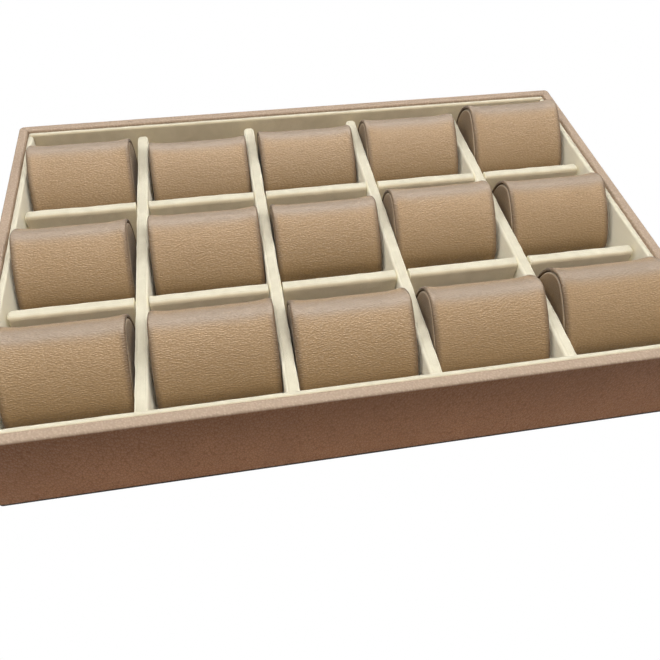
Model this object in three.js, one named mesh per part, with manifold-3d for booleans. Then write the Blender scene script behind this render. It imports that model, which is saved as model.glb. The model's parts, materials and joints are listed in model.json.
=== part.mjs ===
// A watch tray: a leather-wrapped open box with a velvet-covered grid of
// compartments, and a loose watch pillow lying in each compartment.
// Millimetres, +Z up. X runs along the tray's width and Y from its front to its back.
// The origin is on the underside, at the middle of the footprint.

import * as THREE from 'three';
import { mergeVertices } from 'three/addons/utils/BufferGeometryUtils.js';
import Module from 'manifold-3d';

const wasm = await Module();
wasm.setup();

// Outside of the tray
const trayWidth = 350;
const trayDepth = 231;
const trayHeight = 55;
const cornerRadius = 3;

// Wall boards, the leather glued over them, and the bottom
const wallThickness = 3.8;
const wallCornerEase = 1;
const leatherThickness = 0.8;
const rimFoldDepth = 12;
const bottomFoldWidth = 12;
const bottomCoverThickness = 0.8;
const bottomCoverInset = 3;
const baseThickness = 3;

// Velvet-covered boards inside
const liningThickness = 3.4;
const liningDrop = 1;
const floorPadThickness = 2;
const floorPadGap = 0.3;

// Grid of half-lapped dividers; the outer columns are wider and the outer rows shallower
const columnCount = 5;
const rowCount = 3;
const dividerThickness = 7.1;
const dividerDrop = 5.8;
const dividerEdgeRadius = 1.6;
const dividerEndGap = 0.5;
const lapClearance = 0.3;
const outerColumnExtra = 1.5;
const outerRowShort = 2.55;

// Watch pillows: a roll of leather over foam, closed by an oval cap at each end
const pillowEndClearance = 0.9;
const strapGapFront = 9.3;
const strapGapBack = 9;
const pillowRise = 7.7;
const pillowSeatGap = 0.3;
const pillowFlat = 1;
const pillowLeanDegrees = 22;
const pillowSag = 1;
const flareLength = 10;
const shoulderLength = 1.4;
const shoulderInset = 1.2;
const lipWidth = 1.8;
const capThickness = 3.4;
const capProud = 0.6;
const capFit = 0.3;
const capEdge = 1.1;

// Facets, and how far a cutting block runs past the piece that it cuts
const ovalSides = 16;
const cornerSteps = 4;
const edgeSteps = 3;
const shoulderSteps = 2;
const cutOvershoot = 1;

// Levels, from the underside upwards
const leatherBottom = bottomCoverThickness;
const boardBottom = leatherBottom + leatherThickness;
const baseTop = boardBottom + baseThickness;
const floorTop = baseTop + floorPadThickness;
const rimTop = trayHeight;
const wallTop = rimTop - leatherThickness;
const liningTop = rimTop - liningDrop;
const dividerTop = rimTop - dividerDrop;
const lapLevel = (floorTop + dividerTop) / 2;

// Insets from the outside of the tray
const wallOuter = leatherThickness;
const wallInner = wallOuter + wallThickness;
const liningOuter = wallInner + leatherThickness;
const liningInner = liningOuter + liningThickness;

// Compartments, with the middles of the dividers between them
const innerWidth = trayWidth - 2 * liningInner;
const innerDepth = trayDepth - 2 * liningInner;
const columnDividers = columnCount - 1;
const rowDividers = rowCount - 1;
const cellWidth = (innerWidth - columnDividers * dividerThickness - 2 * outerColumnExtra) / columnCount;
const cellDepth = (innerDepth - rowDividers * dividerThickness + 2 * outerRowShort) / rowCount;
const columnLines = middles(columnDividers, cellWidth + dividerThickness);
const rowLines = middles(rowDividers, cellDepth + dividerThickness);
const columnCells = cellsBetween(columnLines, innerWidth);
const rowCells = cellsBetween(rowLines, innerDepth);

// Pillow oval, which leans back, and where its roll, lip and caps end along X, from the pillow's middle
const pillowDepth = cellDepth - outerRowShort - strapGapFront - strapGapBack;
const pillowBottom = floorTop + pillowSeatGap;
const pillowTop = rimTop + pillowRise;
const ovalHalfDepth = pillowDepth / 2;
const ovalHalfHeight = (pillowTop - pillowBottom + pillowFlat) / 2;
const ovalMiddle = pillowTop - ovalHalfHeight;
const leanSin = Math.sin(THREE.MathUtils.degToRad(pillowLeanDegrees));
const leanCos = Math.cos(THREE.MathUtils.degToRad(pillowLeanDegrees));
const ovalLong = leaningHalf(ovalHalfHeight, ovalHalfDepth);
const ovalShort = leaningHalf(ovalHalfDepth, ovalHalfHeight);
const ovalTopTurn = Math.atan2(ovalLong * leanCos, -ovalShort * leanSin);
const capFace = cellWidth / 2 - pillowEndClearance;
const rollEnd = capFace - capProud;
const capBack = capFace - capThickness;
const recessFloor = capBack - capFit;
const lipInset = shoulderInset + lipWidth;
const capInset = lipInset + capFit;

// Colours and finishes
const wrapLeather = { color: 0x7d5c4b, roughness: 0.55 };
const pillowLeather = { color: 0xa68562, roughness: 0.6 };
const creamVelvet = { color: 0xefe5cc, roughness: 0.95 };
const fibreBoard = { color: 0xa98a63, roughness: 0.9 };
const bottomFelt = { color: 0x5d4a3f, roughness: 1 };

// Middles of evenly pitched dividers, about the middle of the tray
function middles(count, pitch) {
  return Array.from({ length: count }, (_, i) => (i - (count - 1) / 2) * pitch);
}

// Clear space of each compartment along one axis, as [from, to]
function cellsBetween(lines, clearLength) {
  const starts = [-clearLength / 2, ...lines.map((line) => line + dividerThickness / 2)];
  const ends = [...lines.map((line) => line - dividerThickness / 2), clearLength / 2];
  return starts.map((start, i) => [start, ends[i]]);
}

// Half the length of the oval along its own axis nearest to one of the two extents that it fills
function leaningHalf(along, across) {
  return Math.sqrt(((along * leanCos) ** 2 - (across * leanSin) ** 2) / (leanCos ** 2 - leanSin ** 2));
}

function block([x0, x1], [y0, y1], [z0, z1]) {
  const geometry = new THREE.BoxGeometry(x1 - x0, y1 - y0, z1 - z0);
  return geometry.translate((x0 + x1) / 2, (y0 + y1) / 2, (z0 + z1) / 2);
}

// The tray's footprint, drawn in by an inset, with rounded or square corners
function footprint(inset, radius, Outline = THREE.Shape) {
  const x = trayWidth / 2 - inset;
  const y = trayDepth / 2 - inset;
  const outline = new Outline();
  outline.moveTo(-x + radius, -y);
  outline.lineTo(x - radius, -y);
  if (radius > 0) outline.absarc(x - radius, -y + radius, radius, -Math.PI / 2, 0);
  outline.lineTo(x, y - radius);
  if (radius > 0) outline.absarc(x - radius, y - radius, radius, 0, Math.PI / 2);
  outline.lineTo(-x + radius, y);
  if (radius > 0) outline.absarc(-x + radius, y - radius, radius, Math.PI / 2, Math.PI);
  outline.lineTo(-x, -y + radius);
  if (radius > 0) outline.absarc(-x + radius, -y + radius, radius, Math.PI, 1.5 * Math.PI);
  return outline;
}

// An upright band that follows the footprint between two insets
function band(outer, inner, [z0, z1]) {
  const shape = footprint(outer.inset, outer.radius);
  shape.holes.push(footprint(inner.inset, inner.radius, THREE.Path));
  const options = { depth: z1 - z0, bevelEnabled: false, curveSegments: cornerSteps };
  return new THREE.ExtrudeGeometry(shape, options).translate(0, 0, z0);
}

function toSolid(geometry) {
  const bare = geometry.clone();
  bare.deleteAttribute('normal');
  bare.deleteAttribute('uv');
  const merged = mergeVertices(bare);
  const vertProperties = new Float32Array(merged.attributes.position.array);
  const triVerts = new Uint32Array(merged.index.array);
  return new wasm.Manifold(new wasm.Mesh({ numProp: 3, vertProperties, triVerts }));
}

function toGeometry(solid) {
  const mesh = solid.getMesh();
  const geometry = new THREE.BufferGeometry();
  geometry.setAttribute('position', new THREE.BufferAttribute(new Float32Array(mesh.vertProperties), 3));
  geometry.setIndex(new THREE.BufferAttribute(new Uint32Array(mesh.triVerts), 1));
  geometry.computeVertexNormals();
  return geometry;
}

function join(geometries) {
  const solids = geometries.map(toSolid);
  return toGeometry(solids.slice(1).reduce((sum, next) => sum.add(next), solids[0]));
}

function cut(geometry, cutters) {
  return toGeometry(cutters.map(toSolid).reduce((rest, next) => rest.subtract(next), toSolid(geometry)));
}

// A closed skin over a row of rings with as many points each, shut by a fan at each end.
// Each ring runs the way from +Y to +Z, and the rings run from the left end to the right end.
function loft(rings) {
  const sides = rings[0].length;
  const index = [];
  for (let ring = 0; ring + 1 < rings.length; ring += 1) {
    for (let i = 0; i < sides; i += 1) {
      const near = ring * sides + i;
      const nearNext = ring * sides + ((i + 1) % sides);
      index.push(near, nearNext, nearNext + sides);
      index.push(near, nearNext + sides, near + sides);
    }
  }
  const last = (rings.length - 1) * sides;
  for (let i = 1; i + 1 < sides; i += 1) {
    index.push(0, i + 1, i);
    index.push(last, last + i, last + i + 1);
  }
  const geometry = new THREE.BufferGeometry().setFromPoints(rings.flat());
  geometry.setIndex(index);
  geometry.computeVertexNormals();
  return geometry;
}

// The pillow's oval at one place along it, drawn in by an inset and flat underneath
function pillowRing(x, inset) {
  return Array.from({ length: ovalSides }, (_, i) => {
    const turn = ovalTopTurn + (2 * Math.PI * i) / ovalSides;
    const short = (ovalShort - inset) * Math.cos(turn);
    const long = (ovalLong - inset) * Math.sin(turn);
    const z = ovalMiddle + long * leanCos - short * leanSin;
    return new THREE.Vector3(x, short * leanCos + long * leanSin, Math.max(z, pillowBottom));
  });
}

// The leather sleeve over its foam core: drawn in along its middle and flaring to full size at
// each end, with rounded shoulders and a recess inside the lip
function pillowRoll() {
  const rightHalf = [[rollEnd - flareLength, pillowSag]];
  for (let step = 0; step <= shoulderSteps; step += 1) {
    const turn = (Math.PI / 2) * (step / shoulderSteps);
    const x = rollEnd - shoulderLength * (1 - Math.sin(turn));
    rightHalf.push([x, shoulderInset * (1 - Math.cos(turn))]);
  }
  rightHalf.push([rollEnd, lipInset], [recessFloor, lipInset]);
  const leftHalf = rightHalf.map(([x, inset]) => [-x, inset]).reverse();
  return loft([...leftHalf, ...rightHalf].map(([x, inset]) => pillowRing(x, inset)));
}

// The oval board in the end of a roll, with its outer edge rounded over
function pillowCap(side) {
  const profile = [[capBack, capInset], [capFace - capEdge, capInset], [capFace, capInset + capEdge]];
  const stations = side > 0 ? profile : profile.map(([x, inset]) => [-x, inset]).reverse();
  return loft(stations.map(([x, inset]) => pillowRing(x, inset)));
}

// A divider lying along Y, with its two top edges rounded
function dividerBar(length) {
  const half = dividerThickness / 2;
  const radius = dividerEdgeRadius;
  const section = new THREE.Shape();
  section.moveTo(-half, floorTop);
  section.lineTo(half, floorTop);
  section.lineTo(half, dividerTop - radius);
  section.absarc(half - radius, dividerTop - radius, radius, 0, Math.PI / 2);
  section.lineTo(-half + radius, dividerTop);
  section.absarc(-half + radius, dividerTop - radius, radius, Math.PI / 2, Math.PI);
  const options = { depth: length, bevelEnabled: false, curveSegments: edgeSteps };
  return new THREE.ExtrudeGeometry(section, options).rotateX(Math.PI / 2).translate(0, length / 2, 0);
}

// Slots for the crossing dividers, spaced along the bar, between two levels
function lapSlots(lines, levels) {
  const across = dividerThickness / 2 + cutOvershoot;
  const reach = dividerThickness / 2 + lapClearance;
  return lines.map((line) => block([-across, across], [line - reach, line + reach], levels));
}

const group = new THREE.Group();

function add(parent, name, geometry, finish) {
  const mesh = new THREE.Mesh(geometry, new THREE.MeshStandardMaterial({ ...finish, metalness: 0 }));
  mesh.name = name;
  parent.add(mesh);
  return mesh;
}

// Carcass: a frame of wall boards round the base board
const wallCornerRadius = cornerRadius - leatherThickness + wallCornerEase;
const wallFace = { inset: wallOuter, radius: wallCornerRadius };
const wallBack = { inset: wallInner, radius: 0 };
add(group, 'wall_frame', band(wallFace, wallBack, [boardBottom, wallTop]), fibreBoard);
const baseX = trayWidth / 2 - wallInner;
const baseY = trayDepth / 2 - wallInner;
add(group, 'base_board', block([-baseX, baseX], [-baseY, baseY], [boardBottom, baseTop]), fibreBoard);

// Leather round the outside, folded over the rim and turned in under the base
const outside = { inset: 0, radius: cornerRadius };
const leatherBack = { inset: wallOuter, radius: cornerRadius - leatherThickness };
const foldFace = { inset: liningOuter, radius: 0 };
const turnInEdge = { inset: wallOuter + bottomFoldWidth, radius: 0 };
const leather = join([
  band(outside, leatherBack, [leatherBottom, rimTop]),
  band(outside, foldFace, [wallTop, rimTop]),
  band(wallBack, foldFace, [rimTop - rimFoldDepth, rimTop]),
  band(outside, turnInEdge, [leatherBottom, boardBottom]),
]);
add(group, 'leather_wrap', leather, wrapLeather);

// Sheet that hides the turned-in edges underneath
const coverX = trayWidth / 2 - bottomCoverInset;
const coverY = trayDepth / 2 - bottomCoverInset;
const bottomCover = block([-coverX, coverX], [-coverY, coverY], [0, bottomCoverThickness]);
add(group, 'bottom_cover', bottomCover, bottomFelt);

// Velvet-covered boards on the four walls and the floor
const halfWidth = innerWidth / 2;
const halfDepth = innerDepth / 2;
const liningX = halfWidth + liningThickness;
const liningY = halfDepth + liningThickness;
const liningLevels = [baseTop, liningTop];
add(group, 'lining_front', block([-liningX, liningX], [-liningY, -halfDepth], liningLevels), creamVelvet);
add(group, 'lining_back', block([-liningX, liningX], [halfDepth, liningY], liningLevels), creamVelvet);
add(group, 'lining_left', block([-liningX, -halfWidth], [-halfDepth, halfDepth], liningLevels), creamVelvet);
add(group, 'lining_right', block([halfWidth, liningX], [-halfDepth, halfDepth], liningLevels), creamVelvet);
const padX = halfWidth - floorPadGap;
const padY = halfDepth - floorPadGap;
add(group, 'floor_pad', block([-padX, padX], [-padY, padY], [baseTop, floorTop]), creamVelvet);

// Front-to-back dividers, slotted from below, over the side-to-side ones, slotted from above
const lowSlot = [floorTop - cutOvershoot, lapLevel + lapClearance / 2];
const highSlot = [lapLevel - lapClearance / 2, dividerTop + cutOvershoot];
const columnBar = cut(dividerBar(innerDepth - 2 * dividerEndGap), lapSlots(rowLines, lowSlot));
columnLines.forEach((line, i) => {
  add(group, `column_divider_${i + 1}`, columnBar, creamVelvet).position.x = line;
});
const rowBar = cut(dividerBar(innerWidth - 2 * dividerEndGap), lapSlots(columnLines, highSlot));
rowBar.rotateZ(Math.PI / 2);
rowLines.forEach((line, i) => {
  add(group, `row_divider_${i + 1}`, rowBar, creamVelvet).position.y = line;
});

// Pillows, row 1 at the front and column 1 at the left, leaning back in each compartment
const roll = pillowRoll();
const leftCap = pillowCap(-1);
const rightCap = pillowCap(1);
rowCells.forEach(([, cellBack], row) => {
  columnCells.forEach(([cellLeft, cellRight], column) => {
    const pillow = new THREE.Group();
    const name = `pillow_row${row + 1}_col${column + 1}`;
    pillow.position.x = (cellLeft + cellRight) / 2;
    pillow.position.y = cellBack - strapGapBack - ovalHalfDepth;
    add(pillow, `${name}_roll`, roll, pillowLeather);
    add(pillow, `${name}_left_cap`, leftCap, pillowLeather);
    add(pillow, `${name}_right_cap`, rightCap, pillowLeather);
    group.add(pillow);
  });
});

export default group;
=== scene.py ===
import json
import math

import bmesh
import bpy
import numpy as np
from mathutils import Matrix, Vector, noise

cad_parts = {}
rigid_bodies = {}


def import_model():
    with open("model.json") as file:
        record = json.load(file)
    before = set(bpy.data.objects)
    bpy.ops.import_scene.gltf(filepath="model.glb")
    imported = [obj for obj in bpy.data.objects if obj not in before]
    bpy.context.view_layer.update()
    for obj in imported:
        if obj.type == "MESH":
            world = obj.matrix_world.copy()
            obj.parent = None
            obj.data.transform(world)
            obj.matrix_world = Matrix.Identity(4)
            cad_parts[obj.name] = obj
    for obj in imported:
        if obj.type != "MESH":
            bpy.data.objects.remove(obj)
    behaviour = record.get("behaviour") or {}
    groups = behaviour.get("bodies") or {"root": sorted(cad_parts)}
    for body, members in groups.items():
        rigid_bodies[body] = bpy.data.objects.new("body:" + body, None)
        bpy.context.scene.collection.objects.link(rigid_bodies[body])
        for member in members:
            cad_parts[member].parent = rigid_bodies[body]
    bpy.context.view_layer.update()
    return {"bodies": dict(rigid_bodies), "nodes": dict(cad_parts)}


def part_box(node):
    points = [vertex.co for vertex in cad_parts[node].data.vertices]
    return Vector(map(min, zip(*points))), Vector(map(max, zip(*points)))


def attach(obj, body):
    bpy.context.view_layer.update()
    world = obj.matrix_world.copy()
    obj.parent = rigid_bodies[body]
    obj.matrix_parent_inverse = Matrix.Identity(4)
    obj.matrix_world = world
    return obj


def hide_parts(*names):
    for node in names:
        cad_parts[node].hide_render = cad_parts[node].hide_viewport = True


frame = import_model()

# Carcass
# The walls and the base are thin fibre boards glued into an open box. Leather and velvet hide them
# from every side, so they keep their plain solids and show only a pressed-fibre face.

fibres_per_metre = 900.0
fibre_dark = (0.26, 0.17, 0.09)
fibre_light = (0.42, 0.30, 0.18)
fibre_relief = 0.0002


def add_node(tree, kind, **settings):
    """A new node with its properties set by attribute and its inputs by a dict named inputs."""
    inputs = settings.pop("inputs", {})
    node = tree.nodes.new(kind)
    for key, value in settings.items():
        setattr(node, key, value)
    for key, value in inputs.items():
        node.inputs[key].default_value = value
    return node


def start_material(name):
    """A material with its tree, its Principled shader and the piece's own coordinates."""
    material = bpy.data.materials.new(name)
    material.use_nodes = True
    tree = material.node_tree
    shader = tree.nodes["Principled BSDF"]
    place = add_node(tree, "ShaderNodeTexCoord").outputs["Object"]
    return material, tree, shader, place


def mix_colours(tree, factor, low, high):
    """A colour between two, by a factor socket; low and high are colours or colour sockets."""
    mix = add_node(tree, "ShaderNodeMix", data_type="RGBA")
    tree.links.new(factor, mix.inputs["Factor"])
    # The node's inputs 6 and 7 and its output 2 are the ones for colours
    for socket, colour in ((mix.inputs[6], low), (mix.inputs[7], high)):
        if isinstance(colour, bpy.types.NodeSocket):
            tree.links.new(colour, socket)
        else:
            socket.default_value = (*colour, 1.0)
    return mix.outputs[2]


def add_bump(tree, shader, height, strength, distance):
    """Gives a shader a relief from a height socket."""
    bump = add_node(tree, "ShaderNodeBump", inputs={"Strength": strength, "Distance": distance})
    tree.links.new(height, bump.inputs["Height"])
    tree.links.new(bump.outputs["Normal"], shader.inputs["Normal"])


def fibre_board_material():
    material, tree, shader, place = start_material("fibre board")
    fibres = add_node(tree, "ShaderNodeTexNoise", inputs={"Scale": fibres_per_metre, "Detail": 4.0})
    tree.links.new(place, fibres.inputs["Vector"])
    colour = mix_colours(tree, fibres.outputs["Fac"], fibre_dark, fibre_light)
    tree.links.new(colour, shader.inputs["Base Color"])
    add_bump(tree, shader, fibres.outputs["Fac"], strength=0.4, distance=fibre_relief)
    shader.inputs["Roughness"].default_value = 0.9
    return material


fibre_board = fibre_board_material()
for name in ("wall_frame", "base_board"):
    frame["nodes"][name].data.materials.clear()
    frame["nodes"][name].data.materials.append(fibre_board)

# Bottom cover
# A thin sheet of brown felt, glued under the base to hide the turned-in leather. It is cut a little
# smaller than the tray, so that the tray seems to stand on a dark line.

felt_rates = {"Fibres per Metre": 2200.0, "Patches per Metre": 60.0}
felt_dark = (0.045, 0.028, 0.020)
felt_light = (0.115, 0.075, 0.055)
felt_relief = 0.0003


def open_group(name, inputs, outputs):
    """A shader node group, the sockets it is given and the sockets of its result; kinds by name."""
    group = bpy.data.node_groups.new(name, "ShaderNodeTree")
    for in_out, kinds in (("INPUT", inputs), ("OUTPUT", outputs)):
        for socket, kind in kinds.items():
            group.interface.new_socket(socket, in_out=in_out, socket_type="NodeSocket" + kind)
    given = add_node(group, "NodeGroupInput").outputs
    result = add_node(group, "NodeGroupOutput").inputs
    return group, given, result


def cloth_nap_group():
    """Short fibres lying in patches: a fine height, and a slow shade that follows how the nap lies."""
    group, given, result = open_group(
        "cloth nap", {"Place": "Vector", "Fibres per Metre": "Float", "Patches per Metre": "Float"},
        {"Height": "Float", "Shade": "Float"})
    fibres = add_node(group, "ShaderNodeTexNoise", inputs={"Detail": 3.0, "Roughness": 0.7})
    patches = add_node(group, "ShaderNodeTexNoise", inputs={"Detail": 2.0, "Distortion": 0.6})
    for texture, rate in ((fibres, "Fibres per Metre"), (patches, "Patches per Metre")):
        group.links.new(given["Place"], texture.inputs["Vector"])
        group.links.new(given[rate], texture.inputs["Scale"])
    blend = add_node(group, "ShaderNodeMix", data_type="FLOAT", inputs={"Factor": 0.35})
    group.links.new(patches.outputs["Fac"], blend.inputs["A"])
    group.links.new(fibres.outputs["Fac"], blend.inputs["B"])
    group.links.new(fibres.outputs["Fac"], result["Height"])
    group.links.new(blend.outputs["Result"], result["Shade"])
    return group


cloth_nap = cloth_nap_group()


def felt_material():
    material, tree, shader, place = start_material("brown felt")
    nap = add_node(tree, "ShaderNodeGroup", node_tree=cloth_nap, inputs=felt_rates)
    tree.links.new(place, nap.inputs["Place"])
    colour = mix_colours(tree, nap.outputs["Shade"], felt_dark, felt_light)
    tree.links.new(colour, shader.inputs["Base Color"])
    add_bump(tree, shader, nap.outputs["Height"], strength=0.7, distance=felt_relief)
    shader.inputs["Roughness"].default_value = 1.0
    shader.inputs["Sheen Weight"].default_value = 0.3
    return material


bottom_cover = frame["nodes"]["bottom_cover"]
bottom_cover.data.materials.clear()
bottom_cover.data.materials.append(felt_material())

# Leather wrap
# One strip of brown leatherette is glued round the walls. It is folded over the rim, down behind the
# lining, and turned in under the base; at the rim's corners it is cut and folded to a mitre.

wrap_low, wrap_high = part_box("leather_wrap")
wall_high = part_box("wall_frame")[1]
lining_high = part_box("lining_right")[1]
wrap_half = np.array([wrap_high.x, wrap_high.y])
wrap_thickness = wrap_high.x - wall_high.x
rim_width = wrap_high.x - lining_high.x
rim_fold = 0.012
rim_outer_round = 0.0013
rim_inner_round = 0.0011
turn_in = 0.0128
foot_round = 0.0020
corner_radius = 0.003
mitre_depth = 0.0003
rim_steps = 5
foot_steps = 4
corner_steps = 12
face_points = 14
top_points = 6
wrap_step = 0.005
wrap_wave = 0.00012
waves_along = 38.0
waves_up = 60.0
weld_reach = 1e-6
sharp_angle = math.radians(40)


def arc_points(centre, radius, start, end, steps):
    """Points on an arc in the plane of inset and height; angles in degrees."""
    turns = np.radians(np.linspace(start, end, steps + 1))
    return [(centre[0] + radius * math.cos(t), centre[1] + radius * math.sin(t)) for t in turns]


def wrap_profile():
    """The strip's section as (inset from the outside, height), once round."""
    foot = wrap_low.z
    rim = wrap_high.z
    face = np.linspace(foot + foot_round, rim - rim_outer_round, face_points)[1:-1]
    top = np.linspace(rim_outer_round, rim_width - rim_inner_round, top_points)[1:-1]
    outer_round = (rim_outer_round, rim - rim_outer_round)
    inner_round = (rim_width - rim_inner_round, rim - rim_inner_round)
    points = [(turn_in, foot), (turn_in / 2, foot)]
    points += arc_points((foot_round, foot + foot_round), foot_round, 270, 180, foot_steps)
    points += [(0.0, z) for z in face]
    points += arc_points(outer_round, rim_outer_round, 180, 90, rim_steps)
    points += [(inset, rim) for inset in top]
    points += arc_points(inner_round, rim_inner_round, 90, 0, rim_steps)
    points += [(rim_width, rim - rim_fold), (rim_width - wrap_thickness, rim - rim_fold)]
    points += [(rim_width - wrap_thickness, rim - wrap_thickness), (wrap_thickness, rim - wrap_thickness)]
    points += [(wrap_thickness, foot + wrap_thickness), (turn_in, foot + wrap_thickness)]
    return points


def wrap_stations():
    """Points round the tray on the corner centres' rectangle, each with its way out and mitre mark."""
    reach = wrap_half - corner_radius
    stations = []
    for quarter in range(4):
        turn = math.pi / 2 * quarter
        corner = reach * np.array([(-1, 1)[quarter in (0, 3)], (-1, 1)[quarter in (0, 1)]])
        for step in range(corner_steps + 1):
            angle = turn + math.pi / 2 * step / corner_steps
            mitre = max(0.0, 1.0 - abs(step - corner_steps / 2))
            stations.append((corner, np.array([math.cos(angle), math.sin(angle)]), mitre))
        way_out = np.array([math.cos(turn + math.pi / 2), math.sin(turn + math.pi / 2)])
        along = np.array([-way_out[1], way_out[0]])
        length = 2 * abs(reach @ along)
        count = round(length / wrap_step)
        for step in range(1, count):
            stations.append((corner + along * length * step / count, way_out, 0.0))
    return stations


def finish_mesh(build, name):
    """A smooth mesh from an edit mesh, with its sharper creases kept."""
    for face in build.faces:
        face.smooth = True
    for edge in build.edges:
        edge.smooth = len(edge.link_faces) == 2 and edge.calc_face_angle(0.0) < sharp_angle
    mesh = bpy.data.meshes.new(name)
    build.to_mesh(mesh)
    build.free()
    return mesh


def leather_wrap_mesh():
    """The strip's section carried round the tray, a little wavy on its outside and cut at the mitres."""
    profile = wrap_profile()
    build = bmesh.new()
    rings = []
    for base, way_out, mitre in wrap_stations():
        ring = []
        for inset, z in profile:
            limit = wrap_half - inset
            spot = np.clip(base + way_out * (corner_radius - inset), -limit, limit)
            wave_spot = Vector((spot[0] * waves_along, spot[1] * waves_along, z * waves_up))
            wave = abs(wrap_wave * noise.noise(wave_spot))
            if inset == 0.0:
                spot = spot - way_out * wave
            if z > wrap_high.z - wrap_thickness / 2:
                z = z - wave - mitre * mitre_depth
            ring.append(build.verts.new((spot[0], spot[1], z)))
        rings.append(ring)
    for ring, after in zip(rings, rings[1:] + rings[:1]):
        for i in range(len(profile)):
            j = (i + 1) % len(profile)
            build.faces.new((ring[i], ring[j], after[j], after[i]))
    bmesh.ops.remove_doubles(build, verts=build.verts, dist=weld_reach)
    bmesh.ops.dissolve_degenerate(build, edges=build.edges, dist=weld_reach)
    bmesh.ops.recalc_face_normals(build, faces=build.faces)
    return finish_mesh(build, "leather_wrap_skin")


def new_piece(name, mesh, material, body, slot, *nodes):
    """A finished piece that rides on a body and stands for its CAD nodes.

    The material is None for a mesh that has its own already.
    """
    piece = bpy.data.objects.new(name, mesh)
    bpy.context.scene.collection.objects.link(piece)
    if material is not None:
        mesh.materials.clear()
        mesh.materials.append(material)
    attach(piece, body)
    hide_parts(*nodes)
    return piece


def fade(tree, value, start, end, most=1.0, smooth=True):
    """A mask that goes from 0 to its most while a value socket goes from its start to its end."""
    kind = "SMOOTHSTEP" if smooth else "LINEAR"
    mask = add_node(tree, "ShaderNodeMapRange", interpolation_type=kind,
                    inputs={"From Min": start, "From Max": end, "To Max": most})
    tree.links.new(value, mask.inputs["Value"])
    return mask.outputs["Result"]


def split_axes(tree, vector):
    """The X, Y and Z sockets of a vector socket."""
    axes = add_node(tree, "ShaderNodeSeparateXYZ")
    tree.links.new(vector, axes.inputs["Vector"])
    return axes.outputs


warps_per_metre = 420.0
warp_reach = 0.00025
pebble_reach = 0.75
crease_reach = 0.12
crease_dullness = 0.2
pores_per_metre = 3200.0
pore_depth = 0.12
mottles_per_metre = 45.0


def leather_grain_group():
    """Pebbled leather: small domes parted by fine creases, with a slow mottle in the dye."""
    group, given, result = open_group(
        "leather grain", {"Place": "Vector", "Pebbles per Metre": "Float"},
        {"Height": "Float", "Crease": "Float", "Mottle": "Float"})
    warp = add_node(group, "ShaderNodeTexNoise", inputs={"Scale": warps_per_metre, "Detail": 2.0})
    pores = add_node(group, "ShaderNodeTexNoise", inputs={"Scale": pores_per_metre, "Detail": 2.0})
    mottle = add_node(group, "ShaderNodeTexNoise",
                      inputs={"Scale": mottles_per_metre, "Detail": 3.0, "Roughness": 0.6})
    for texture in (warp, pores, mottle):
        group.links.new(given["Place"], texture.inputs["Vector"])
    push = add_node(group, "ShaderNodeVectorMath", operation="MULTIPLY_ADD",
                    inputs={1: (warp_reach, warp_reach, warp_reach)})
    group.links.new(warp.outputs["Color"], push.inputs[0])
    group.links.new(given["Place"], push.inputs[2])
    cells = add_node(group, "ShaderNodeTexVoronoi", feature="DISTANCE_TO_EDGE", inputs={"Randomness": 0.95})
    pebbles = add_node(group, "ShaderNodeTexVoronoi", feature="SMOOTH_F1", inputs={"Smoothness": 0.45})
    for texture in (cells, pebbles):
        group.links.new(push.outputs["Vector"], texture.inputs["Vector"])
        group.links.new(given["Pebbles per Metre"], texture.inputs["Scale"])
    height = add_node(group, "ShaderNodeMath", operation="MULTIPLY_ADD", inputs={1: pore_depth})
    group.links.new(pores.outputs["Fac"], height.inputs[0])
    group.links.new(fade(group, pebbles.outputs["Distance"], pebble_reach, 0.0), height.inputs[2])
    group.links.new(height.outputs["Value"], result["Height"])
    group.links.new(fade(group, cells.outputs["Distance"], crease_reach, 0.0), result["Crease"])
    group.links.new(mottle.outputs["Fac"], result["Mottle"])
    return group


leather_grain = leather_grain_group()


def painted_rim_sheen_mask(tree, place, height, look):
    """A mask for the painted sheen on the wrap's rim, from its outer edge to all folded over to the inside.
    """
    edge = fade(tree, height, look["painted_rim_from"], look["painted_rim_to"])
    spread = add_node(tree, "ShaderNodeVectorMath", operation="ABSOLUTE")
    tree.links.new(place, spread.inputs[0])
    inset = add_node(tree, "ShaderNodeVectorMath", operation="SUBTRACT", inputs={0: (*wrap_half, 0.0)})
    tree.links.new(spread.outputs["Vector"], inset.inputs[1])
    sides = split_axes(tree, inset.outputs["Vector"])
    nearest = add_node(tree, "ShaderNodeMath", operation="MINIMUM")
    tree.links.new(sides["X"], nearest.inputs[0])
    tree.links.new(sides["Y"], nearest.inputs[1])
    folded = add_node(tree, "ShaderNodeMath", operation="GREATER_THAN", inputs={1: rim_width / 2})
    tree.links.new(nearest.outputs["Value"], folded.inputs[0])
    painted_sheen_reach = add_node(tree, "ShaderNodeMath", operation="MAXIMUM")
    tree.links.new(edge, painted_sheen_reach.inputs[0])
    tree.links.new(folded.outputs["Value"], painted_sheen_reach.inputs[1])
    return painted_sheen_reach.outputs["Value"]


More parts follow.
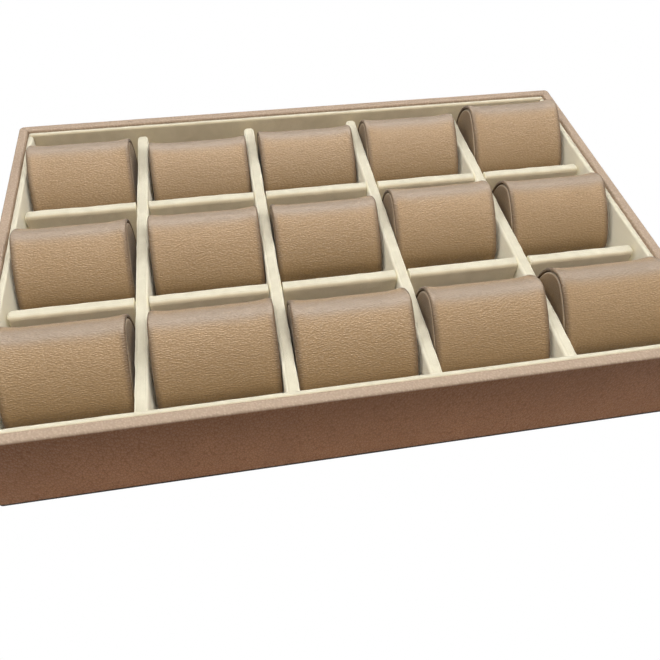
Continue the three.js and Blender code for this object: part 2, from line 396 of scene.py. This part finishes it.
def leather_material(name, look):
    """Grained leatherette: dark and light dye by the mottle, darker and duller in the creases.

    It has painted shade by height. A look may also add painted shade or a painted highlight at marked
    ends, painted sheen and shade on faces that look up, a painted sheen on the rim and a painted contact
    shadow at the foot.
    """
    material, tree, shader, place = start_material(name)
    stretch = add_node(tree, "ShaderNodeMapping", inputs={"Scale": look["stretch"]})
    tree.links.new(place, stretch.inputs["Vector"])
    grain = add_node(tree, "ShaderNodeGroup", node_tree=leather_grain,
                     inputs={"Pebbles per Metre": look["pebbles"]})
    tree.links.new(stretch.outputs["Vector"], grain.inputs["Place"])
    height = split_axes(tree, place)["Z"]
    dye = mix_colours(tree, grain.outputs["Mottle"], look["dark"], look["light"])
    colour = mix_colours(tree, grain.outputs["Crease"], dye, look["crease"])
    # Painted shade, growing from the height shade_from to the height shade_to
    shade = fade(tree, height, look["shade_from"], look["shade_to"], look["shade_most"], smooth=False)
    colour = mix_colours(tree, shade, colour, look["painted_shade_tone"])
    # Painted shade near a sleeve's ends and a painted highlight on a cap's rim, by the point attribute end
    if "painted_end_light_and_shade" in look:
        reach = add_node(tree, "ShaderNodeAttribute", attribute_name="end").outputs["Fac"]
        near_end = fade(tree, reach, look["end_from"], look["end_to"], look["end_most"])
        colour = mix_colours(tree, near_end, colour, look["painted_end_light_and_shade"])
    # Painted sheen and shade: a greyer, darker tone on faces that look up, on the crest
    if "painted_crest_sheen_shade" in look:
        facing = split_axes(tree, add_node(tree, "ShaderNodeNewGeometry").outputs["Normal"])
        painted_crest_mask = fade(tree, facing["Z"], look["painted_crest_from"], look["painted_crest_to"])
        colour = mix_colours(tree, painted_crest_mask, colour, look["painted_crest_sheen_shade"])
    if "painted_rim_sheen" in look:
        # Painted sheen on the rim, from its outer edge to all that is folded over
        painted_sheen_colour = mix_colours(tree, grain.outputs["Height"], look["painted_rim_sheen_low"], look["painted_rim_sheen"])
        colour = mix_colours(tree, painted_rim_sheen_mask(tree, place, height, look), colour, painted_sheen_colour)
        # A painted contact shadow along the foot
        foot = fade(tree, height, look["painted_shadow_from"], look["painted_shadow_to"])
        colour = mix_colours(tree, foot, colour, look["painted_contact_shadow"])
    tree.links.new(colour, shader.inputs["Base Color"])
    dull = add_node(tree, "ShaderNodeMapRange",
                    inputs={"To Min": look["roughness"], "To Max": look["roughness"] + crease_dullness})
    tree.links.new(grain.outputs["Crease"], dull.inputs["Value"])
    tree.links.new(dull.outputs["Result"], shader.inputs["Roughness"])
    add_bump(tree, shader, grain.outputs["Height"], strength=1.0, distance=look["relief"])
    shader.inputs["Specular IOR Level"].default_value = look["gloss"]
    shader.inputs["Sheen Weight"].default_value = look["bloom"]
    shader.inputs["Sheen Roughness"].default_value = 0.5
    return material


wrap_leather = leather_material("wrap leather", {
    "stretch": (1.0, 1.0, 0.5), "pebbles": 850.0, "relief": 0.00024,
    "roughness": 0.62, "gloss": 0.2, "bloom": 0.0,
    # Painted shade: these dyes are a darker, redder copy of the pillows' leather
    "dark": (0.260, 0.118, 0.0534), "light": (0.389, 0.183, 0.085), "crease": (0.232, 0.104, 0.047),
    # Painted shade, darker towards the rim
    "painted_shade_tone": (0.086, 0.030, 0.0095), "shade_from": 0.010, "shade_to": 0.0533, "shade_most": 0.58,
    # A painted sheen on the rim
    "painted_rim_sheen": (0.495, 0.368, 0.265), "painted_rim_sheen_low": (0.410, 0.300, 0.212),
    "painted_rim_from": 0.0533, "painted_rim_to": 0.0548,
    # A painted contact shadow along the foot
    "painted_contact_shadow": (0.020, 0.014, 0.010), "painted_shadow_from": 0.0042, "painted_shadow_to": 0.0030,
})
new_piece("leather_wrap_skin", leather_wrap_mesh(), wrap_leather, "tray", "wrap_leather", "leather_wrap")

# Velvet boards
# The four linings, the floor pad and the dividers are stiff boards wrapped in short cream velvet, so
# every edge is soft. The front-to-back dividers are notched from below and drop over the side-to-side
# ones, which are notched from above.

velvet_rates = {"Fibres per Metre": 2600.0, "Patches per Metre": 120.0}
velvet_pale_dark = (0.57, 0.51, 0.370)
velvet_pale_light = (0.86, 0.81, 0.635)
# Painted shade on faces that look to the front
velvet_front_painted_shade_dark = (0.54, 0.45, 0.28)
velvet_front_painted_shade_light = (0.78, 0.66, 0.46)
# Painted light on faces that look sideways
velvet_painted_side_light = (0.99, 0.93, 0.73)
velvet_relief = 0.00025


def velvet_material():
    """Short velvet: painted light on faces that look sideways, painted shade on those that look to the
    front.
    """
    material, tree, shader, place = start_material("cream velvet")
    nap = add_node(tree, "ShaderNodeGroup", node_tree=cloth_nap, inputs=velvet_rates)
    tree.links.new(place, nap.inputs["Place"])
    facing = split_axes(tree, add_node(tree, "ShaderNodeNewGeometry").outputs["Normal"])
    sideways = add_node(tree, "ShaderNodeMath", operation="ABSOLUTE")
    tree.links.new(facing["X"], sideways.inputs[0])
    # Painted light on faces that look sideways
    painted_side_mask = fade(tree, sideways.outputs["Value"], start=0.3, end=0.9)
    # Painted shade on faces that look to the front
    painted_front_mask = fade(tree, facing["Y"], start=-0.2, end=-0.9)
    pale = mix_colours(tree, nap.outputs["Shade"], velvet_pale_dark, velvet_pale_light)
    painted_front_colour = mix_colours(tree, nap.outputs["Shade"], velvet_front_painted_shade_dark, velvet_front_painted_shade_light)
    light = mix_colours(tree, painted_side_mask, pale, velvet_painted_side_light)
    tree.links.new(mix_colours(tree, painted_front_mask, light, painted_front_colour), shader.inputs["Base Color"])
    add_bump(tree, shader, nap.outputs["Height"], strength=0.6, distance=velvet_relief)
    shader.inputs["Roughness"].default_value = 1.0
    shader.inputs["Specular IOR Level"].default_value = 0.2
    shader.inputs["Sheen Weight"].default_value = 0.5
    shader.inputs["Sheen Roughness"].default_value = 0.6
    shader.inputs["Sheen Tint"].default_value = (1.0, 0.95, 0.85, 1.0)
    return material


board_sockets = {
    "Centre": "Vector", "Size": "Vector", "Edge Radius": "Float", "Ripple": "Float",
    "Cells X": "Int", "Cells Y": "Int", "Cells Z": "Int",
    "Notches": "Int", "First Notch": "Vector", "Notch Step": "Vector", "Notch Size": "Vector",
    "Cover": "Material",
}
ripples_per_metre = 110.0
notch_angle = math.radians(50)


def velvet_board_tree():
    """Geometry nodes for one board: a fine box, rounded all over, rippled a little, then notched."""
    tree = bpy.data.node_groups.new("velvet board", "GeometryNodeTree")
    sockets = {}
    for name, kind in board_sockets.items():
        socket = tree.interface.new_socket(name, in_out="INPUT", socket_type="NodeSocket" + kind)
        sockets[name] = socket.identifier
    tree.interface.new_socket("Board", in_out="OUTPUT", socket_type="NodeSocketGeometry")
    given = add_node(tree, "NodeGroupInput").outputs

    def feed(socket, value):
        if isinstance(value, bpy.types.NodeSocket):
            tree.links.new(value, socket)
        else:
            socket.default_value = value

    def vector(operation, *values):
        node = add_node(tree, "ShaderNodeVectorMath", operation=operation)
        for socket, value in zip(node.inputs, values):
            feed(socket, value)
        return node.outputs["Vector"]

    def scaled(first, factor):
        node = add_node(tree, "ShaderNodeVectorMath", operation="SCALE")
        feed(node.inputs[0], first)
        feed(node.inputs["Scale"], factor)
        return node.outputs["Vector"]

    box = add_node(tree, "GeometryNodeMeshCube", inputs={"Size": (2.0, 2.0, 2.0)})
    for axis in "XYZ":
        tree.links.new(given["Cells " + axis], box.inputs["Vertices " + axis])
    # Crowd the box's points towards its edges, where the rounding is, and give it its size
    spot = add_node(tree, "GeometryNodeInputPosition").outputs["Position"]
    inward = vector("SUBTRACT", (1.0, 1.0, 1.0), vector("ABSOLUTE", spot))
    crowded = vector("SUBTRACT", (1.0, 1.0, 1.0), vector("MULTIPLY", inward, inward))
    half = scaled(given["Size"], 0.5)
    full = vector("MULTIPLY", vector("MULTIPLY", vector("SIGN", spot), crowded), half)
    # Pull every point onto a ball of the edge radius that rolls inside the box
    radius = add_node(tree, "ShaderNodeCombineXYZ")
    for socket in radius.inputs:
        tree.links.new(given["Edge Radius"], socket)
    core = vector("SUBTRACT", half, radius.outputs["Vector"])
    inner = vector("MINIMUM", vector("MAXIMUM", full, scaled(core, -1.0)), core)
    outward = scaled(vector("NORMALIZE", vector("SUBTRACT", full, inner)), given["Edge Radius"])
    rounded = add_node(tree, "GeometryNodeSetPosition")
    tree.links.new(box.outputs["Mesh"], rounded.inputs["Geometry"])
    tree.links.new(vector("ADD", vector("ADD", inner, outward), given["Centre"]), rounded.inputs["Position"])
    # Soft ripples in the cloth, only ever inwards
    ripple = add_node(tree, "ShaderNodeTexNoise", inputs={"Scale": ripples_per_metre, "Detail": 1.0})
    place = add_node(tree, "GeometryNodeInputPosition").outputs["Position"]
    tree.links.new(place, ripple.inputs["Vector"])
    depth = add_node(tree, "ShaderNodeMath", operation="MULTIPLY")
    tree.links.new(ripple.outputs["Fac"], depth.inputs[0])
    tree.links.new(given["Ripple"], depth.inputs[1])
    normal = add_node(tree, "GeometryNodeInputNormal").outputs["Normal"]
    rippled = add_node(tree, "GeometryNodeSetPosition")
    tree.links.new(rounded.outputs["Geometry"], rippled.inputs["Geometry"])
    tree.links.new(scaled(scaled(normal, depth.outputs["Value"]), -1.0), rippled.inputs["Offset"])
    # Notches for the dividers that cross this one
    line = add_node(tree, "GeometryNodeMeshLine")
    tree.links.new(given["Notches"], line.inputs["Count"])
    tree.links.new(given["First Notch"], line.inputs["Start Location"])
    tree.links.new(given["Notch Step"], line.inputs["Offset"])
    cutter = add_node(tree, "GeometryNodeMeshCube")
    tree.links.new(given["Notch Size"], cutter.inputs["Size"])
    cutters = add_node(tree, "GeometryNodeInstanceOnPoints")
    tree.links.new(line.outputs["Mesh"], cutters.inputs["Points"])
    tree.links.new(cutter.outputs["Mesh"], cutters.inputs["Instance"])
    notched = add_node(tree, "GeometryNodeMeshBoolean", operation="DIFFERENCE")
    tree.links.new(rippled.outputs["Geometry"], notched.inputs["Mesh 1"])
    tree.links.new(cutters.outputs["Instances"], notched.inputs["Mesh 2"])
    # Smooth all but the notches' own edges
    angle = add_node(tree, "GeometryNodeInputMeshEdgeAngle").outputs["Unsigned Angle"]
    blunt = add_node(tree, "FunctionNodeCompare", operation="LESS_THAN", inputs={"B": notch_angle})
    tree.links.new(angle, blunt.inputs["A"])
    smooth = add_node(tree, "GeometryNodeSetShadeSmooth", domain="EDGE")
    tree.links.new(notched.outputs["Mesh"], smooth.inputs["Geometry"])
    tree.links.new(blunt.outputs["Result"], smooth.inputs["Shade Smooth"])
    realized = add_node(tree, "GeometryNodeRealizeInstances")
    tree.links.new(smooth.outputs["Geometry"], realized.inputs["Geometry"])
    covered = add_node(tree, "GeometryNodeSetMaterial")
    tree.links.new(realized.outputs["Geometry"], covered.inputs["Geometry"])
    tree.links.new(given["Cover"], covered.inputs["Material"])
    result = add_node(tree, "NodeGroupOutput")
    tree.links.new(covered.outputs["Geometry"], result.inputs["Board"])
    return tree, sockets


velvet = velvet_material()
velvet_board, velvet_inputs = velvet_board_tree()
cells_across_thickness = 8
cells_across_height = 18
cells_along = 120


def add_velvet_board(node, edge_radius, ripple, notches=None):
    """Makes the board of one CAD node from its box; notches are the inputs that notches_for gives."""
    low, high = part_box(node)
    size = high - low
    values = {"Centre": (low + high) / 2, "Size": size, "Edge Radius": edge_radius, "Ripple": ripple,
              "Cover": velvet}
    shortest_first = sorted(range(3), key=lambda axis: size[axis])
    for axis, cells in zip(shortest_first, (cells_across_thickness, cells_across_height, cells_along)):
        values["Cells " + "XYZ"[axis]] = cells + 1
    values.update(notches or {"Notches": 0})
    piece = bpy.data.objects.new(node + "_velvet", bpy.data.meshes.new(node + "_velvet"))
    bpy.context.scene.collection.objects.link(piece)
    maker = piece.modifiers.new("velvet board", "NODES")
    maker.node_group = velvet_board
    for name, value in values.items():
        maker[velvet_inputs[name]] = tuple(value) if isinstance(value, Vector) else value
    evaluated = piece.evaluated_get(bpy.context.evaluated_depsgraph_get())
    mesh = bpy.data.meshes.new_from_object(evaluated)
    mesh.name = node + "_velvet"
    bpy.data.objects.remove(piece)
    return new_piece(node + "_velvet", mesh, None, "tray", "velvet", node)


lining_edge = 0.0016
pad_edge = 0.0008
divider_edge = 0.0025
board_ripple = 0.0004
divider_ripple = 0.0008
for side in ("front", "back", "left", "right"):
    add_velvet_board("lining_" + side, lining_edge, board_ripple)
add_velvet_board("floor_pad", pad_edge, board_ripple)

column_dividers = sorted(name for name in frame["nodes"] if name.startswith("column_divider"))
row_dividers = sorted(name for name in frame["nodes"] if name.startswith("row_divider"))
lap_clearance = 0.0003
notch_overshoot = 0.002


def middle_of(node):
    low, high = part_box(node)
    return (low + high) / 2


def notches_for(node, crossing, axis, from_below):
    """Notches in one divider where the others cross it, half its height, along an axis of 0 or 1."""
    low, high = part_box(node)
    lap = (low.z + high.z) / 2
    bottom = low.z - notch_overshoot if from_below else lap - lap_clearance / 2
    top = lap + lap_clearance / 2 if from_below else high.z + notch_overshoot
    first = middle_of(node)
    first[axis] = middle_of(crossing[0])[axis]
    first.z = (bottom + top) / 2
    step = Vector((0.0, 0.0, 0.0))
    step[axis] = middle_of(crossing[1])[axis] - first[axis]
    across = high[1 - axis] - low[1 - axis]
    size = Vector((0.0, 0.0, top - bottom))
    size[axis] = across + 2 * lap_clearance
    size[1 - axis] = across + 2 * notch_overshoot
    return {"Notches": len(crossing), "First Notch": first, "Notch Step": step, "Notch Size": size}


for node in column_dividers:
    notches = notches_for(node, row_dividers, axis=1, from_below=True)
    add_velvet_board(node, divider_edge, divider_ripple, notches)
for node in row_dividers:
    notches = notches_for(node, column_dividers, axis=0, from_below=False)
    add_velvet_board(node, divider_edge, divider_ripple, notches)

# Pillow rolls
# Each pillow is a soft foam roll in a sleeve of taupe leatherette, and leans back a little. The sleeve is
# pulled over a stiff board at each end, so the ends stand full while the foam between them is drawn in.

pillow_bodies = sorted(name for name in frame["bodies"] if name.startswith("pillow_"))
roll_low, roll_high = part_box(pillow_bodies[0] + "_roll")
sleeve_overhang = 0.0006
roll_half = (roll_high.x - roll_low.x) / 2 + sleeve_overhang
roll_half_depth = (roll_high.y - roll_low.y) / 2
roll_flat = 0.001
roll_half_height = (roll_high.z - roll_low.z + roll_flat) / 2
roll_middle = roll_high.z - roll_half_height
lean = math.radians(22.0)


def leaning_half(along, across):
    """Half the leaning oval's length along its own axis nearest to one of the extents that it fills."""
    square = (along * math.cos(lean)) ** 2 - (across * math.sin(lean)) ** 2
    return math.sqrt(square / math.cos(2 * lean))


roll_long = leaning_half(roll_half_height, roll_half_depth)
roll_short = leaning_half(roll_half_depth, roll_half_height)
roll_sag = 0.001
flare_length = 0.011
shoulder_length = 0.0015
shoulder_inset = 0.0009
lip_flat = 0.0001
lip_round = 0.0005
recess_depth = 0.0038
recess_reach = 0.012
front_slope = math.radians(47.0)
front_reach = 0.0165
front_ease = 0.0015
front_press = 0.6
points_round = 80
body_points = 19
rounding_points = 6
recess_points = 4


def oval_ring(inset):
    """The leaning oval drawn in by an inset, as (y, z) about the roll's middle, once round.

    Its upper front is pressed flatter, where the leather is drawn tight from the ridge to the foot.
    """
    turns = 2 * np.pi * np.arange(points_round) / points_round
    short = (roll_short - inset) * np.cos(turns)
    long = (roll_long - inset) * np.sin(turns)
    y = short * math.cos(lean) + long * math.sin(lean)
    z = long * math.cos(lean) - short * math.sin(lean)
    proud = np.maximum(z * math.sin(front_slope) - y * math.cos(front_slope) - front_reach + inset, 0.0)
    press = front_press * (proud - front_ease * (1 - np.exp(-proud / front_ease)))
    return y + press * math.cos(front_slope), z - press * math.sin(front_slope)


def roll_profile():
    """Stations along the right half of a roll, as (distance from its middle, inset from its oval)."""
    body_end = roll_half - shoulder_length
    lip = shoulder_inset + lip_flat
    rounding = np.radians(np.linspace(0, 90, rounding_points))
    stations = []
    for x in np.linspace(0.0, body_end, body_points)[:-1]:
        flare = max(0.0, 1.0 - (body_end - x) / flare_length)
        stations.append((x, roll_sag * (1.0 - flare ** 2)))
    for turn in rounding:
        stations.append((body_end + shoulder_length * math.sin(turn), shoulder_inset * (1 - math.cos(turn))))
    for turn in rounding:
        stations.append((roll_half - lip_round * (1 - math.cos(turn)), lip + lip_round * math.sin(turn)))
    for x in np.linspace(roll_half - lip_round, roll_half - recess_depth, recess_points)[1:]:
        stations.append((x, lip + lip_round))
    stations.append((roll_half - recess_depth, recess_reach))
    return stations


def roll_grid():
    """Points of a whole roll about its own middle: stations from left to right, each once round."""
    right = roll_profile()
    left = [(-x, inset) for x, inset in reversed(right[1:])]
    grid = []
    for x, inset in left + right:
        y, z = oval_ring(inset)
        grid.append(np.column_stack([np.full_like(y, x), y, np.maximum(roll_middle + z, roll_low.z)]))
    return np.array(grid)


dent_depth = 0.0004
dents_per_metre = 28.0
dent_shift = (7.3, 3.1, 1.7)
least_length = 1e-9


def lie_loose(grid, seed):
    """One pillow's own soft dents, worked into the shared roll's points."""
    shift = Vector([seed * step for step in dent_shift])
    spots = grid.reshape(-1, 3).copy()
    for spot in spots:
        out = np.array([0.0, spot[1], spot[2] - roll_middle])
        out = out / max(np.linalg.norm(out), least_length)
        dent = noise.noise(Vector(spot * dents_per_metre) + shift)
        spot -= out * dent_depth * (0.5 + 0.5 * dent)
    spots[:, 2] = np.maximum(spots[:, 2], roll_low.z)
    return spots.reshape(grid.shape)


# How far each pillow has slid back and to the right of the middle of its place, and how much fuller or
# flatter it is than the others, in millimetres by row from the front
slid_back = {
    1: (2.5, 2.3, -0.7, -0.9, 2.5),
    2: (-2.5, -1.4, 2.5, 2.5, 1.3),
    3: (-2.5, -0.6, 2.5, 2.5, 1.4),
}
slid_right = {
    1: (0.7, 0.7, -0.7, -0.7, -0.7),
    2: (-0.4, 0.6, -0.4, -0.7, -0.7),
    3: (-0.1, 0.7, 0.0, -0.7, -0.4),
}
fuller = {
    1: (0.9, 1.2, 1.2, 0.7, 0.7),
    2: (-0.3, -0.2, -3.2, -0.1, -0.5),
    3: (0.9, -4.0, -4.0, -1.4, 3.4),
}


def lay(body, spots):
    """Points of a pillow, given about the middle of its place, where and as full as that pillow lies."""
    row, column = (int(word[3:]) for word in body.split("_")[1:3])
    low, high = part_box(body + "_roll")
    fullness = 1 + fuller[row][column - 1] / 1000 / (high.z - low.z)
    foot = np.array([0.0, 0.0, low.z])
    slide = np.array([slid_right[row][column - 1], slid_back[row][column - 1], 0.0]) / 1000
    place = np.array([(low.x + high.x) / 2, (low.y + high.y) / 2, 0.0])
    return (spots - foot) * np.array([1.0, fullness, fullness]) + foot + place + slide


def tube_mesh(name, stations, shares):
    """A tube along a row of stations, shut at both ends, with a share from 0 to 1 on each point.

    The share tells how near the point is to the end or edge that the leather is drawn over. It sets
    the painted shade near a sleeve's ends and the painted highlight on a cap's rim.
    """
    build = bmesh.new()
    rings = [[build.verts.new(spot) for spot in station] for station in stations]
    for ring, after in zip(rings, rings[1:]):
        for i in range(len(ring)):
            j = (i + 1) % len(ring)
            build.faces.new((ring[i], ring[j], after[j], after[i]))
    build.faces.new(list(reversed(rings[0])))
    build.faces.new(rings[-1])
    bmesh.ops.recalc_face_normals(build, faces=build.faces)
    mesh = finish_mesh(build, name)
    mesh.attributes.new("end", "FLOAT", "POINT").data.foreach_set("value", shares)
    return mesh


pillow_look = {
    "stretch": (0.34, 1.0, 1.0), "pebbles": 1850.0, "relief": 0.00016,
    "roughness": 0.54, "gloss": 0.5, "bloom": 0.15,
    "dark": (0.352, 0.219, 0.0995), "light": (0.449, 0.285, 0.136), "crease": (0.280, 0.170, 0.076),
    # Painted shade, darker towards the bottom of the roll
    "painted_shade_tone": (0.186, 0.109, 0.034), "shade_from": 0.056, "shade_to": 0.034, "shade_most": 0.68,
    # Painted sheen and shade on the crest
    "painted_crest_sheen_shade": (0.300, 0.214, 0.138), "painted_crest_from": 0.82, "painted_crest_to": 0.98,
}
sleeve_leather = leather_material("sleeve leather", {
    # Painted shade near the sleeve's ends
    **pillow_look, "painted_end_light_and_shade": (0.105, 0.058, 0.022), "end_from": 0.87, "end_to": 1.0, "end_most": 0.85,
})
shared_roll = roll_grid()
end_shares = np.abs(shared_roll[..., 0]).ravel() / roll_half
for seed, body in enumerate(pillow_bodies):
    mesh = tube_mesh(body + "_sleeve", lay(body, lie_loose(shared_roll, seed)), end_shares)
    sleeve = new_piece(body + "_sleeve", mesh, sleeve_leather, body, "pillow_leather", body + "_roll")

# Pillow end caps
# An oval board wrapped in the same leather is pressed into each end of the roll. Its face is a little
# dished and its edge rounded. Its dyes are darker than the sleeve's as painted shade, and its rounded
# edge has a painted highlight, so it shows pale beside the dark crease round it.

cap_edge = 0.0010
cap_dish = 0.0006
cap_crease = 0.0009
cap_back_share = 0.45
cap_face_shares = (0.12, 0.25, 0.45, 0.65, 0.85)


def cap_mesh(body, node, facing):
    """An oval disc facing along X, from the back of its box to a dished face with a rounded rim."""
    low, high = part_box(node)
    middle = (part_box(body + "_roll")[0].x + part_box(body + "_roll")[1].x) / 2
    back = (low.x if facing > 0 else high.x) - middle
    front = (high.x if facing > 0 else low.x) - middle
    flank = front - facing * cap_edge
    # Each ring is (distance along X, share of the way in from the oval to its middle, share of the
    # painted highlight on the edge)
    rings = [(back, cap_back_share, 0.0), (back, 0.0, 0.0), ((back + flank) / 2, 0.0, 0.0)]
    for turn in np.radians(np.linspace(0, 90, rounding_points)):
        inward = cap_edge / roll_short * (1 - math.cos(turn))
        rings.append((flank + facing * cap_edge * math.sin(turn), inward, math.cos(turn)))
    for inward in cap_face_shares:
        rings.append((front - facing * cap_dish * (1 - (1 - inward) ** 2), inward, 0.0))
    y, z = oval_ring(shoulder_inset + lip_flat + lip_round + cap_crease)
    stations = []
    shares = []
    for x, inward, painted_highlight_share in rings:
        spots = np.column_stack([np.full_like(y, x), y * (1 - inward), roll_middle + z * (1 - inward)])
        stations.append(lay(body, spots))
        shares += [painted_highlight_share] * points_round
    return tube_mesh(node + "_leather", stations, shares)


cap_leather = leather_material("cap leather", {
    # Painted shade: darker dyes than the sleeves'
    **pillow_look, "dark": (0.260, 0.162, 0.074), "light": (0.330, 0.208, 0.100),
    # A painted highlight on the cap's rounded rim
    "painted_end_light_and_shade": (0.640, 0.500, 0.350), "end_from": 0.2, "end_to": 0.75, "end_most": 1.0,
})
for body in pillow_bodies:
    for side, facing in (("left", -1), ("right", 1)):
        node = f"{body}_{side}_cap"
        mesh = cap_mesh(body, node, facing)
        new_piece(node + "_leather", mesh, cap_leather, body, "pillow_leather", node)

# Studio
# A pale floor under a wide soft light overhead, with a soft light at either side, another behind the
# tray for the sheen on the leather, and a camera where the photograph was taken from.

floor_size = 8.0
floor_gap = 0.0002
floor_pale = (0.85, 0.85, 0.85)
floor_black = (0.0, 0.0, 0.0)
bpy.ops.mesh.primitive_plane_add(size=floor_size, location=(0.0, 0.0, -floor_gap))
floor = bpy.context.object
floor.name = "studio_floor"
floor_material, floor_tree, floor_shader, _ = start_material("pale floor")
# The camera sees plain white, and everything else a matt floor
seen = add_node(floor_tree, "ShaderNodeLightPath").outputs["Is Camera Ray"]
floor_colour = mix_colours(floor_tree, seen, floor_pale, floor_black)
floor_tree.links.new(floor_colour, floor_shader.inputs["Base Color"])
floor_tree.links.new(seen, floor_shader.inputs["Emission Strength"])
floor_shader.inputs["Emission Color"].default_value = (1.0, 1.0, 1.0, 1.0)
floor_shader.inputs["Roughness"].default_value = 1.0
floor_shader.inputs["Specular IOR Level"].default_value = 0.0
floor.data.materials.append(floor_material)

light_aim = Vector((0.0, 0.0, 0.0))


def soft_light(name, place, width, depth, power):
    """A rectangular lamp of a width and depth in metres and a power in watts, aimed at the tray."""
    lamp = bpy.data.lights.new(name, "AREA")
    lamp.shape = "RECTANGLE"
    lamp.size = width
    lamp.size_y = depth
    lamp.energy = power
    light = bpy.data.objects.new(name, lamp)
    light.location = place
    light.rotation_euler = (light_aim - Vector(place)).to_track_quat("-Z", "Y").to_euler()
    bpy.context.scene.collection.objects.link(light)
    return light


soft_light("key_light", (0.0, -0.20, 1.30), width=0.9, depth=0.8, power=15.6)
soft_light("left_light", (-1.20, 0.0, 0.80), width=1.4, depth=1.0, power=7.1)
soft_light("right_light", (1.20, 0.0, 0.80), width=1.4, depth=1.0, power=6.7)
sheen_light = soft_light("sheen_light", (0.10, 0.60, 1.30), width=1.6, depth=1.0, power=46.0)
sheen_light.visible_diffuse = False

world_strength = 0.05
world = bpy.data.worlds.new("studio")
world.use_nodes = True
world.node_tree.nodes["Background"].inputs["Color"].default_value = (1.0, 1.0, 1.0, 1.0)
world.node_tree.nodes["Background"].inputs["Strength"].default_value = world_strength
bpy.context.scene.world = world
bpy.context.scene.view_settings.view_transform = "Standard"

camera_place = (-0.05386, -0.27145, 0.2945)
camera_azimuth = math.radians(-12.05)
camera_elevation = math.radians(50.18)
camera_roll = math.radians(2.61)
camera_lens = 35.87
camera_near = 0.01
camera_back = Vector((math.sin(camera_azimuth) * math.cos(camera_elevation),
                      -math.cos(camera_azimuth) * math.cos(camera_elevation),
                      math.sin(camera_elevation)))
camera_right = Vector((math.cos(camera_azimuth), math.sin(camera_azimuth), 0.0))
camera_up = camera_back.cross(camera_right)
camera_turn = Matrix((camera_right, camera_up, camera_back)).transposed()
camera_turn = camera_turn @ Matrix.Rotation(camera_roll, 3, "Z")
camera = bpy.data.objects.new("camera", bpy.data.cameras.new("camera"))
camera.data.lens = camera_lens
camera.data.clip_start = camera_near
camera.matrix_world = Matrix.Translation(camera_place) @ camera_turn.to_4x4()
bpy.context.scene.collection.objects.link(camera)
bpy.context.scene.camera = camera
